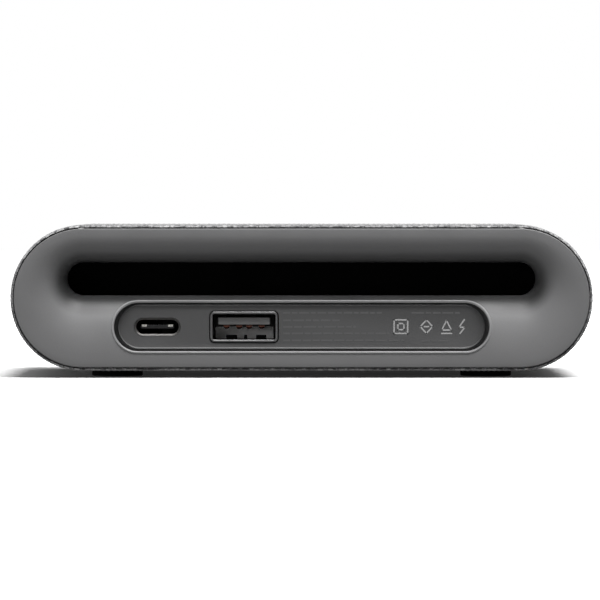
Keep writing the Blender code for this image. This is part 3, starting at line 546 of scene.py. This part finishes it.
def grid_object(name, points, threads_at):
    """A mesh over a grid of points, with the thread counts kept as an attribute."""
    rows, columns = points.shape[:2]
    number = np.arange(rows * columns).reshape(rows, columns)
    corners = (number[:-1, :-1], number[:-1, 1:], number[1:, 1:], number[1:, :-1])
    faces = np.stack(corners, axis=-1).reshape(-1, 4)
    flat_points = points.reshape(-1, 3)
    faces = faces[~over_foot(flat_points[faces].mean(axis=1))]
    mesh = bpy.data.meshes.new(name)
    mesh.from_pydata(flat_points.tolist(), [], faces.tolist())
    attribute = mesh.attributes.new("thread", "FLOAT_VECTOR", "POINT")
    attribute.data.foreach_set("vector", threads_at.reshape(-1).astype(np.float32))
    made = bpy.data.objects.new(name, mesh)
    bpy.context.scene.collection.objects.link(made)
    bm = bmesh.new()
    bm.from_mesh(mesh)
    loose = [vert for vert in bm.verts if not vert.link_faces]
    bmesh.ops.delete(bm, geom=loose, context="VERTS")
    neaten_foot_holes(bm)
    bmesh.ops.recalc_face_normals(bm, faces=bm.faces)
    bm.to_mesh(mesh)
    bm.free()
    mesh.shade_smooth()
    return made


def feet():
    """(middle, radius) of each foot."""
    found = []
    for number in range(1, 5):
        low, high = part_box(f"foot_{number}")
        found.append(((low + high) / 2, (high.x - low.x) / 2))
    return found


def over_foot(centres):
    """Whether each point lies over a foot's hole in the sleeve's underside."""
    hidden = np.zeros(len(centres), bool)
    for middle, radius in feet():
        distance = np.hypot(centres[:, 0] - middle.x, centres[:, 1] - middle.y)
        hidden |= (distance < radius + FOOT_HOLE_GAP) & (centres[:, 2] < MIDDLE)
    return hidden


def neaten_foot_holes(bm):
    """Moves the cut edge of each hole on to a circle and turns it up inside."""
    near = 1.5  # a hole's edge lies within this share of its foot's radius
    for middle, radius in feet():
        edge = []
        for line in bm.edges:
            if not line.is_boundary:
                continue
            spot = (line.verts[0].co + line.verts[1].co) / 2
            if spot.z < MIDDLE and math.hypot(spot.x - middle.x, spot.y - middle.y) < radius * near:
                edge.append(line)
        for vert in {vert for line in edge for vert in line.verts}:
            outward = Vector((vert.co.x - middle.x, vert.co.y - middle.y)).normalized()
            vert.co.xy = middle.xy + outward * (radius + FOOT_HOLE_GAP)
        if edge:
            turned = bmesh.ops.extrude_edge_only(bm, edges=edge)["geom"]
            for vert in turned:
                if isinstance(vert, bmesh.types.BMVert):
                    vert.co.z += TUCK


def fabric_sleeve():
    """The cloth as two halves that meet along the body's sides."""
    cloth = cloth_material()
    half = THREADS_ROUND // 2
    halves = [sleeve_half("sleeve_cloth_upper", 0, half), sleeve_half("sleeve_cloth_lower", half, half)]
    for piece, shell in zip(halves, ("upper_shell", "lower_shell")):
        place(piece, cloth, "sleeve_cloth", "fabric_sleeve")


# Bezels. Depths are measured outward from the body's middle, and end is -1 at the rear, 1 in front.

def roll_shape(radius):
    """(height, depth) of the roll where its outline has this radius."""
    inward = (ROLL_OUTER - radius) / (ROLL_OUTER - SLOT_RADIUS)
    return SLOT_HEIGHT * inward, HALF_DEPTH - ROLL_DEPTH * (1 - math.sqrt(max(0.0, 1 - inward * inward)))


def roll_depth_below_slot(z):
    """Depth of the roll's surface under the slot's straight stretch, z above the body's middle."""
    slope = SLOT_HEIGHT / (ROLL_OUTER - SLOT_RADIUS)
    radius = (slope * ROLL_OUTER - z) / (1 + slope)
    return roll_shape(min(max(radius, SLOT_RADIUS), ROLL_OUTER))[1]


def bezel_blank(name, end):
    """The moulding without its pocket: rim, roll, slot wall, back and flange."""
    spigot = BEZEL_RADIUS - SPIGOT_INSET
    stations = [(BEZEL_RADIUS, 0.0, HALF_DEPTH - FLANGE)]
    for x, y in arc(RIM_EDGE, 0.0, math.pi / 2, 4):
        stations.append((BEZEL_RADIUS - RIM_EDGE + x, 0.0, HALF_DEPTH - RIM_EDGE + y))
    steps = 28
    for step in range(steps + 1):
        radius = ROLL_OUTER - (ROLL_OUTER - SLOT_RADIUS) * math.sin(math.pi / 2 * step / steps)
        stations.append((radius, *roll_shape(radius)))
    stations.append((SLOT_RADIUS, SLOT_HEIGHT, BEZEL_BACK))
    stations.append((spigot, 0.0, BEZEL_BACK))
    stations.append((spigot, 0.0, HALF_DEPTH - FLANGE))
    rings = []
    for radius, height, depth in stations:
        outline = pill(radius, HALF_STRAIGHT, height=height, straight_steps=64)
        rings.append(at_depth(outline, end * depth))
    return shown(name, skin(rings, closed=True))


def pocket_bead(plastic):
    """The raised bead that runs round the mouth of the port pocket."""
    rings = []
    for x, z in pill(POCKET_RADIUS, POCKET_HALF_STRAIGHT, arc_steps=40):
        centre = max(-POCKET_HALF_STRAIGHT, min(POCKET_HALF_STRAIGHT, x))
        out = Vector((x - centre, z)).normalized()
        surface = roll_depth_below_slot(z + out.y * BEAD_OFFSET + PORT_HEIGHT) - BEAD_SUNK
        ring = []
        for across, up in arc(BEAD_RADIUS, 0.0, 2 * math.pi, 16)[:-1]:
            move = BEAD_OFFSET + across
            ring.append(Vector((x + out.x * move, -surface - up, z + out.y * move + PORT_HEIGHT + MIDDLE)))
        rings.append(ring)
    bead = shown("rear_bezel_bead", skin(rings, closed=True), sharp=60)
    place(bead, plastic, "case_plastic", "rear_bezel")


def rear_bezel(plastic):
    """The moulding at the ports' end, with its pocket and a hole for each port."""
    bezel = bezel_blank("rear_bezel_moulding", -1)
    outline = pill(POCKET_RADIUS, POCKET_HALF_STRAIGHT, height=PORT_HEIGHT, arc_steps=40)
    floor = PANEL_HIGH.y + POCKET_FLOOR_GAP
    cut(bezel, prism("pocket", outline, -HALF_DEPTH - CUT_PAST, floor))
    for node_name in ("usb_c_shell", "usb_a_shell"):
        outline = port_outline(node_name, PORT_CLEARANCE)
        cut(bezel, prism("port", outline, -HALF_DEPTH, -BEZEL_BACK + CUT_PAST))
    place(bezel, plastic, "case_plastic", "rear_bezel")


def front_bezel(plastic):
    """The moulding at the other end, with its window for the charging light."""
    bezel = bezel_blank("front_bezel_moulding", 1)
    low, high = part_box("status_lens")
    radius = (high.z - low.z) / 2
    height = (low.z + high.z) / 2 - MIDDLE
    outline = pill(radius + PORT_CLEARANCE, high.x - radius, height=height, arc_steps=16)
    cut(bezel, prism("window", outline, BEZEL_BACK - CUT_PAST, HALF_DEPTH + CUT_PAST))
    place(bezel, plastic, "case_plastic", "front_bezel")


# Ports

def port_outline(node_name, extra=0.0):
    """The outline of a port shell's outside, larger by extra on every side."""
    low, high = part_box(node_name)
    across = (low.x + high.x) / 2
    height = (low.z + high.z) / 2 - MIDDLE
    half_width, half_height = (high.x - low.x) / 2, (high.z - low.z) / 2
    if node_name == "usb_c_shell":
        return pill(half_height + extra, half_width - half_height, across, height, arc_steps=20)
    return rounded_box(half_width + extra, half_height + extra, USB_A_CORNER + extra, across, height)


def port_panel(plastic):
    """The insert round the ports, with a low rounded lip that slopes down to its face."""
    front = PANEL_LOW.y
    profile = [(0.0, PANEL_HIGH.y), (0.0, front + PANEL_EDGE), (PANEL_EDGE, front), (PANEL_LIP, front)]
    steps = 4
    for step in range(1, steps + 1):
        share = step / steps
        profile.append((PANEL_LIP + PANEL_SLOPE * share, front + PANEL_RISE * math.sin(share * math.pi / 2)))
    rings = []
    for inset, y in profile:
        outline = pill(PANEL_RADIUS - inset, PANEL_HALF_STRAIGHT, height=PORT_HEIGHT, arc_steps=40)
        rings.append(at_depth(outline, y))
    panel = shown("port_panel_insert", skin(rings))
    for node_name in ("usb_c_shell", "usb_a_shell"):
        outline = port_outline(node_name, PORT_CLEARANCE)
        cut(panel, prism("port", outline, -HALF_DEPTH, -BEZEL_BACK))
    place(panel, plastic, "panel_plastic", "port_panel")


def usb_a_shell(metal):
    """A drawn metal shell with a rounded mouth."""
    low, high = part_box("usb_a_shell")
    lip = USB_A_LIP
    rings = [at_depth(port_outline("usb_a_shell"), high.y)]
    for x, y in arc(lip, 0.0, math.pi / 2, 4):
        rings.append(at_depth(port_outline("usb_a_shell", x - lip), low.y + lip - y))
    for x, y in arc(lip, math.pi / 2, math.pi, 4):
        rings.append(at_depth(port_outline("usb_a_shell", x + lip - USB_A_WALL), low.y + lip - y))
    rings.append(at_depth(port_outline("usb_a_shell", -USB_A_WALL), high.y))
    place(shown("usb_a_sleeve", skin(rings, closed=True)), metal, "port_steel", "usb_a_shell")


def usb_c_shell(metal):
    """A drawn metal shell whose mouth flares into a shallow funnel."""
    low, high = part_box("usb_c_shell")
    edge = 0.04 * MM
    profile = (
        (0.0, high.y),
        (0.0, low.y + USB_C_FUNNEL),
        (USB_C_FLARE, low.y + edge),
        (USB_C_FLARE - edge, low.y),
        (-USB_C_WALL, low.y + USB_C_FUNNEL),
        (-USB_C_WALL, high.y),
    )
    rings = [at_depth(port_outline("usb_c_shell", extra), y) for extra, y in profile]
    place(shown("usb_c_sleeve", skin(rings, closed=True)), metal, "port_steel", "usb_c_shell")


def tongue_plate(name, outline, inner, tip, edge, root):
    """A flat plate whose front edge is chamfered."""
    return shown(name, skin([at_depth(inner, tip), at_depth(outline, tip + edge), at_depth(outline, root)]))


def tongue_span(node_name):
    """(middle across, half its width, its tip's y, its root's y) of a port's tongue."""
    low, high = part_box(node_name)
    return (low.x + high.x) / 2, (high.x - low.x) / 2, low.y, high.y


def usb_c_plate(plastic):
    """The tongue's rounded plate."""
    middle, half_width, tip, root = tongue_span("usb_c_tongue")
    edge = USB_C_PLATE_EDGE
    outline = rounded_box(half_width, USB_C_PLATE_HALF, 0.2 * MM, middle, PORT_HEIGHT)
    inner = rounded_box(half_width - edge, USB_C_PLATE_HALF - edge, 0.12 * MM, middle, PORT_HEIGHT)
    plate = tongue_plate("usb_c_tongue_plate", outline, inner, tip, edge, root)
    place(plate, plastic, "port_plastic", "usb_c_tongue")


def usb_c_bars(name, metal, offsets, section, rise, start, end):
    """Equal rounded bars on the tongue, each at its own offset from the middle."""
    middle, _, tip, _ = tongue_span("usb_c_tongue")
    bars = bmesh.new()
    for offset in offsets:
        outline = rounded_box(*section, middle + offset, PORT_HEIGHT + rise)
        skin([at_depth(outline, tip + start), at_depth(outline, tip + end)], bm=bars)
    place(shown(name, bars), metal, "port_steel", "usb_c_tongue")


def usb_c_guards(metal):
    """A steel guard near each end of the tongue."""
    offsets = (-GUARD_ACROSS, GUARD_ACROSS)
    usb_c_bars("usb_c_guards", metal, offsets, GUARD, GUARD_RISE, GUARD_START, GUARD_END)


def usb_c_contacts(metal):
    """The ends of the contacts along the tongue."""
    offsets = [(number - (USB_C_CONTACTS - 1) / 2) * USB_C_PITCH for number in range(USB_C_CONTACTS)]
    start, end = USB_C_CONTACT_START, USB_C_CONTACT_END
    usb_c_bars("usb_c_contacts", metal, offsets, USB_C_CONTACT, USB_C_CONTACT_RISE, start, end)


def usb_a_half_height():
    """Half the height inside the USB-A shell."""
    low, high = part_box("usb_a_shell")
    return (high.z - low.z) / 2 - USB_A_WALL


def usb_a_tongue_heights():
    """(bottom, top) of the USB-A tongue, above the body's middle height."""
    top = PORT_HEIGHT + usb_a_half_height() - TONGUE_DROP
    return top - TONGUE_THICKNESS, top


def usb_a_plate(plastic):
    """The tongue's rounded plate."""
    middle, half_width, tip, root = tongue_span("usb_a_tongue")
    bottom, top = usb_a_tongue_heights()
    height, half = (top + bottom) / 2, (top - bottom) / 2
    outline = rounded_box(half_width, half, 0.2 * MM, middle, height)
    inner = rounded_box(half_width - TONGUE_EDGE, half - TONGUE_EDGE, 0.1 * MM, middle, height)
    plate = tongue_plate("usb_a_tongue_plate", outline, inner, tip, TONGUE_EDGE, root)
    place(plate, plastic, "port_plastic", "usb_a_tongue")


def usb_a_block(plastic):
    """The insulator at the tongue's root, which fills the shell."""
    middle, half_width, _, root = tongue_span("usb_a_tongue")
    half = usb_a_half_height() - ROUND_PORT
    outline = rounded_box(half_width + BLOCK_PAST, half, 0.3 * MM, middle, PORT_HEIGHT)
    block = prism("usb_a_back_block", outline, root - BLOCK_DEPTH, root)
    place(block, plastic, "port_plastic", "usb_a_tongue")


def usb_a_wall(plastic):
    """The wall in front of the insulator, below the tongue, coloured near white as painted light so that it
    reads as lit deep inside the port.
    """
    middle, half_width, _, root = tongue_span("usb_a_tongue")
    tongue_bottom, _ = usb_a_tongue_heights()
    top = tongue_bottom - WALL_DROP
    bottom = PORT_HEIGHT - usb_a_half_height() + ROUND_PORT
    height, half = (top + bottom) / 2, (top - bottom) / 2
    outline = rounded_box(half_width + WALL_PAST, half, 0.2 * MM, middle, height)
    wall = prism("usb_a_back_wall", outline, root - BLOCK_DEPTH - BACK_WALL, root - BLOCK_DEPTH)
    place(wall, plastic, "port_plastic", "usb_a_tongue")


def usb_a_springs(metal):
    """The springs that hold a plug: tapered strips that lean in from the shell's floor and ceiling."""
    middle, _, tip, _ = tongue_span("usb_a_tongue")
    start = tip + SPRING_START
    end = start + SPRING_LENGTH
    profile = [(start, 0.0), (start + 0.1 * MM, SPRING_HEIGHT), (end, 0.1 * MM), (end, 0.0)]
    springs = bmesh.new()
    for side, stretches in ((-1, LOWER_SPRINGS), (1, UPPER_SPRINGS)):
        wall = MIDDLE + PORT_HEIGHT + side * usb_a_half_height()
        for stretch in stretches:
            ends = [[Vector((middle + x, y, wall - side * rise)) for y, rise in profile] for x in stretch]
            skin(ends, bm=springs)
    place(shown("usb_a_springs", springs), metal, "port_steel", "usb_a_shell")


def usb_a_contact(number, metal):
    """A spring contact under the tongue, rounded below and bent down near its tip."""
    name = f"usb_a_contact_{number}"
    low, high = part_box(name)
    middle, half = (low.x + high.x) / 2, (high.x - low.x) / 2
    top, drop = high.z - MIDDLE, high.z - low.z
    strip = 0.4  # the strip's thickness, as a share of the bend's depth
    bend = 0.6 * MM  # the length of each stretch of the bend
    slope = 0.75
    profile = [(low.y, strip), (low.y + bend / 2, slope), (low.y + bend, 1.0), (low.y + 2 * bend, 1.0)]
    profile += [(low.y + 3 * bend, strip), (high.y, strip)]
    section = arc(half, math.pi, 2 * math.pi, 12)
    rings = []
    for y, share in profile:
        outline = [(middle + x, top + z * drop * share / half) for x, z in section]
        rings.append(at_depth(outline, y))
    place(shown(f"contact_strip_{number}", skin(rings)), metal, "contact_gold", name)


# Marks on the panel: plain dashes and simple signs, printed on its face

def stroke(bm, path, width):
    """A printed line through the points (x, z) of a path."""
    for start, end in zip(path, path[1:]):
        start, end = Vector(start), Vector(end)
        along = (end - start).normalized() * width / 2
        side = Vector((-along.y, along.x))
        quad = [start - along - side, end + along - side, end + along + side, start - along + side]
        skin([at_depth(quad, PANEL_FACE - INK_HEIGHT), at_depth(quad, PANEL_FACE + INK_HEIGHT)], bm=bm)


def dashed_rows(ink):
    """Rows of short faint dashes."""
    rng = random.Random(7)
    bm = bmesh.new()
    for height, start, end in ROWS:
        x = start
        while x < end:
            length = rng.uniform(DASH_LEAST, DASH_MOST)
            stroke(bm, [(x, height), (min(x + length, end), height)], ROW_WIDTH)
            x += length + 2 * ROW_WIDTH
    place(shown("panel_dashes", bm), ink, "panel_plastic", "port_panel")


def sign(bm, centre, lines):
    """A small sign from lines drawn in a square two units wide about its centre."""
    for line in lines:
        path = [(centre + x * SIGN_HALF, SIGN_HEIGHT + z * SIGN_HALF) for x, z in line]
        stroke(bm, path, SIGN_LINE)


def panel_signs(ink):
    """Four plain signs: a square in a square, a diamond round a dash, a triangle over a bar and a bolt."""
    square = [(-1, -1), (1, -1), (1, 1), (-1, 1), (-1, -1)]
    inner_square = [(0.45 * x, 0.45 * z) for x, z in square]
    diamond = [(-0.9, 0), (0, -1), (0.9, 0), (0, 1), (-0.9, 0)]
    dash = [(-0.3, 0), (0.3, 0)]
    triangle = [(-0.7, -0.5), (0.7, -0.5), (0, 0.9), (-0.7, -0.5)]
    bar = [(-0.7, -1), (0.7, -1)]
    bolt = [(0.3, 1), (-0.45, -0.1), (0.4, -0.1), (-0.3, -1)]
    signs = ((square, inner_square), (diamond, dash), (triangle, bar), (bolt,))
    bm = bmesh.new()
    for centre, lines in zip(SIGN_PLACES, signs):
        sign(bm, centre, lines)
    place(shown("panel_signs", bm), ink, "panel_plastic", "port_panel")


# Feet

def foot(number, rubber):
    """A moulded rubber disc with a rounded edge and a shallow ring in its underside."""
    low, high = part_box(f"foot_{number}")
    middle, radius = (low + high) / 2, (high.x - low.x) / 2
    centre = 0.0001 * MM  # a ring this small closes the disc in its middle
    edge = 0.3 * MM
    groove_top = low.z + 0.12 * MM
    groove_outer, groove_inner, slope = 0.70 * radius, 0.62 * radius, 0.02 * radius
    profile = [(centre, high.z), (radius, high.z)]
    for x, z in reversed(arc(edge, -math.pi / 2, 0.0, 4)):
        profile.append((radius - edge + x, low.z + edge + z))
    profile += [(groove_outer + slope, low.z), (groove_outer, groove_top)]
    profile += [(groove_inner, groove_top), (groove_inner - slope, low.z), (centre, low.z)]
    rings = []
    for reach, z in profile:
        circle = arc(reach, 0.0, 2 * math.pi, 72)[:-1]
        rings.append([Vector((middle.x + x, middle.y + y, z)) for x, y in circle])
    piece = shown(f"foot_disc_{number}", skin(rings))
    place(piece, rubber, "foot_rubber", f"foot_{number}")


# Materials for the CAD nodes that stay

def case_materials():
    """What the outside is made of, apart from the cloth."""
    ink = {"roughness": 0.6, "grain": BLAST_GRAIN, "depth": PRINT_DEPTH, "spread": 0.05}
    return {
        "case_plastic": case_plastic(),
        "bead_plastic": grained(
            "bead_plastic", (0.20, 0.20, 0.202), 0.4, BLAST_GRAIN, PRINT_DEPTH, spread=0.04
        ),
        "panel_plastic": grained(
            "panel_plastic_blasted", (0.073, 0.073, 0.074), 0.5, BLAST_GRAIN, BLAST_DEPTH, spread=0.06
        ),
        "panel_ink_faint": grained("panel_ink_faint", (0.10, 0.10, 0.101), **ink),
        "panel_ink": grained("panel_ink_pale", (0.42, 0.42, 0.42), **ink),
        "liner_plastic": grained(
            "liner_black", (0.0015, 0.0015, 0.0015), 0.9, 0.2 * MM, 0.01 * MM, specular=0.05
        ),
        "foot_rubber": grained(
            "foot_rubber_black", (0.012, 0.012, 0.012), 0.85, 0.15 * MM, 0.01 * MM, specular=0.3
        ),
        "lens_plastic": grained("lens_frosted", (0.8, 0.8, 0.8), 0.3, 0.2 * MM, 0.002 * MM, spread=0.03),
    }


def port_materials():
    """What the two ports are made of."""
    return {
        "port_steel": brushed("port_steel_drawn", (0.19, 0.19, 0.192), 0.42, DRAWN, 0.002 * MM),
        "port_steel_dull": brushed("port_steel_dull", (0.17, 0.165, 0.16), 0.6, DRAWN, 0.002 * MM),
        "guard_metal": brushed("guard_plated", (0.95, 0.93, 0.88), 0.65, DRAWN, 0.002 * MM),
        "contact_gold": brushed("contact_plated", (0.18, 0.075, 0.055), 0.4, DRAWN, 0.001 * MM),
        "port_plastic": grained("port_insulator", (0.15, 0.15, 0.15), 0.45, 0.1 * MM, 0.004 * MM),
        # Near white: painted light, so that the wall deep inside the USB-A port reads as lit
        "back_wall": grained("port_wall_painted_light", (0.96, 0.96, 0.96), 0.5, 0.2 * MM, 0.005 * MM),
        # Near black with no reflection: painted shade, standing for the dark cut-outs where the springs are
        "spring_steel": grained(
            "spring_painted_shade_black", (0.002, 0.002, 0.002), 0.8, 0.1 * MM, 0.002 * MM, specular=0.0
        ),
    }


def inside_materials():
    """What the pieces inside the case are made of."""
    return {
        "shell_plastic": grained("shell_moulded", (0.03, 0.03, 0.03), 0.55, 0.4 * MM, 0.02 * MM),
        "board_laminate": grained(
            "board_lacquer", (0.02, 0.12, 0.06), 0.35, 0.5 * MM, 0.004 * MM, spread=0.25
        ),
        "coil_copper": brushed("coil_enamelled", (0.72, 0.33, 0.16), 0.3, (900, 900, 900), 0.002 * MM),
        "ferrite": grained("ferrite_sintered", (0.05, 0.05, 0.055), 0.6, 0.3 * MM, 0.01 * MM, spread=0.2),
        "shield_aluminium": brushed("shield_rolled", (0.75, 0.75, 0.76), 0.35, (100, 3000, 3000), 0.002 * MM),
        "chip_plastic": grained("chip_moulded", (0.02, 0.02, 0.022), 0.5, 0.12 * MM, 0.005 * MM),
        "capacitor_plastic": grained(
            "capacitor_dipped", (0.45, 0.12, 0.05), 0.3, 0.8 * MM, 0.01 * MM, spread=0.15
        ),
        "screw_steel": brushed("screw_plated", (0.5, 0.5, 0.5), 0.3, (1500, 1500, 1500), 0.003 * MM),
        "cable_plastic": grained("cable_film", (0.60, 0.50, 0.20), 0.4, 0.3 * MM, 0.003 * MM),
    }


def dress_cad_nodes(materials):
    """Gives every CAD node the material of its slot, apart from the sleeve, whose pieces bring their own."""
    for entry in frame["record"]["subparts"]:
        slot_name = entry["material_slot"]
        if slot_name in materials:
            cad = frame["nodes"][entry["node"]]
            cad.data.materials.clear()
            cad.data.materials.append(materials[slot_name])


# Stage

def white_floor():
    """A floor that looks white, glows faintly far from the pad and sends little light back on to it."""
    bm = bmesh.new()
    bmesh.ops.create_grid(bm, x_segments=1, y_segments=1, size=3.0)
    floor = shown("floor", bm)
    material, tree, shader = new_material("floor_white", (0.95, 0.95, 0.95), 0.9)
    seen = node(tree, "ShaderNodeLightPath").outputs["Is Camera Ray"]
    tree.links.new(ramp(tree, seen, (0.0, 0.22), (1.0, 0.95)), shader.inputs["Base Color"])
    shader.inputs["Specular IOR Level"].default_value = 0.0
    shader.inputs["Emission Color"].default_value = (1.0, 1.0, 1.0, 1.0)
    away = length_of(tree, object_place(tree))
    fade = {"Value": away, "From Min": 0.12, "From Max": 0.5, "To Min": 0.02}
    glow = node(tree, "ShaderNodeMapRange", fade).outputs["Result"]
    tree.links.new(math_node(tree, "MULTIPLY", glow, seen), shader.inputs["Emission Strength"])
    floor.data.materials.append(material)


def white_world():
    """A background that looks white and sheds a little even light."""
    world = bpy.data.worlds.new("studio")
    bpy.context.scene.world = world
    world.use_nodes = True
    tree = world.node_tree
    seen = node(tree, "ShaderNodeLightPath").outputs["Is Camera Ray"]
    tree.links.new(ramp(tree, seen, (0.0, 0.12), (1.0, 1.0)), tree.nodes["Background"].inputs["Color"])


def softbox(name, spot, aim, width, height, power):
    """A rectangular light at spot, turned to face aim."""
    light = bpy.data.lights.new(name, "AREA")
    light.shape = "RECTANGLE"
    light.size, light.size_y = width, height
    light.energy = power
    made = bpy.data.objects.new(name, light)
    made.location = spot
    made.rotation_euler = (Vector(aim) - Vector(spot)).to_track_quat("-Z", "Y").to_euler()
    bpy.context.scene.collection.objects.link(made)


def lights():
    """A large soft light overhead, a low one in front and one from behind."""
    target = (0.0, 0.0, MIDDLE)
    softbox("key", (0.25, -0.42, 1.32), target, 1.0, 0.5, 39.7)
    softbox("fill", (-0.9, -1.3, 0.18), target, 1.6, 0.3, 2.6)
    softbox("back", (0.1, 1.2, 0.8), target, 1.2, 0.6, 8.0)


def camera():
    """A long lens a little above the floor, level with the rear end."""
    distance = 1.2
    height = 35 * MM
    seen_width = 119.2 * MM  # at the rear end
    aim = Vector((-0.31 * MM, -HALF_DEPTH, MIDDLE - 0.38 * MM))
    data = bpy.data.cameras.new("camera")
    data.sensor_width = 36.0
    data.lens = data.sensor_width * distance / seen_width
    data.clip_start, data.clip_end = 0.05, 50.0
    made = bpy.data.objects.new("camera", data)
    made.location = (aim.x, -HALF_DEPTH - distance, height)
    made.rotation_euler = (aim - made.location).to_track_quat("-Z", "Y").to_euler()
    bpy.context.scene.collection.objects.link(made)
    bpy.context.scene.camera = made


def main():
    bpy.context.scene.view_settings.view_transform = "Standard"
    camera()
    lights()
    white_floor()
    white_world()
    looks = {**case_materials(), **port_materials(), **inside_materials()}
    dress_cad_nodes(looks)
    fabric_sleeve()
    rear_bezel(looks["case_plastic"])
    front_bezel(looks["case_plastic"])
    pocket_bead(looks["bead_plastic"])
    port_panel(looks["panel_plastic"])
    dashed_rows(looks["panel_ink_faint"])
    panel_signs(looks["panel_ink"])
    usb_c_plate(looks["chip_plastic"])
    usb_c_guards(looks["guard_metal"])
    usb_c_contacts(looks["port_steel"])
    usb_a_plate(looks["port_plastic"])
    usb_a_block(looks["chip_plastic"])
    usb_a_wall(looks["back_wall"])
    usb_a_springs(looks["spring_steel"])
    for number in range(1, 5):
        usb_a_contact(number, looks["contact_gold"])
    usb_c_shell(looks["port_steel_dull"])
    usb_a_shell(looks["port_steel"])
    for number in range(1, 5):
        foot(number, looks["foot_rubber"])


main()
